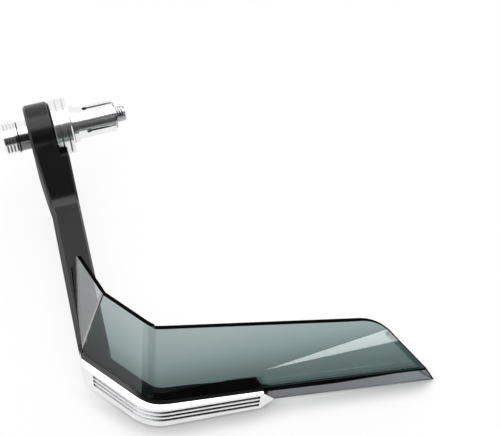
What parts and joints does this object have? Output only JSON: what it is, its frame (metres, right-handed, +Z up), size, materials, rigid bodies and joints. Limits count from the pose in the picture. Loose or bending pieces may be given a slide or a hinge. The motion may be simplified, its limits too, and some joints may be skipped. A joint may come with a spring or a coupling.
{
  "type": "motorcycle hand guard",
  "caption": "Motorcycle bar-end hand guard: a cranked black arm on an expanding handlebar plug carries a faceted smoked wind shield with a bright grooved trim strip.",
  "frame": {"origin": "On the handlebar's axis where its tube ends, against the step of the spacer collar", "axes": "+X inward along the handlebar, +Y to the rear of the motorcycle, +Z up"},
  "size_m": [0.1761, 0.1903, 0.0622],
  "materials": {
    "black_arm": "fine grained, satin black",
    "smoked_shield": "clear smoked, polished",
    "bright_aluminium": "bright anodised",
    "turned_aluminium": "turned, bright anodised",
    "steel_screws": "zinc plated",
    "steel_inner": "plain machined"
  },
  "bodies": {
    "root": {"guard_arm": "black_arm", "wind_shield": "smoked_shield", "trim_strip": "bright_aluminium", "shield_screws": "steel_screws", "shield_barrel_nuts": "steel_screws", "trim_screws": "steel_screws", "spacer_collar": "turned_aluminium", "expander_sleeve": "turned_aluminium", "wedge_nut": "steel_inner", "clamp_bolt": "steel_inner", "bar_end_cap": "turned_aluminium", "head_bush": "steel_inner"}
  },
  "joints": []
}
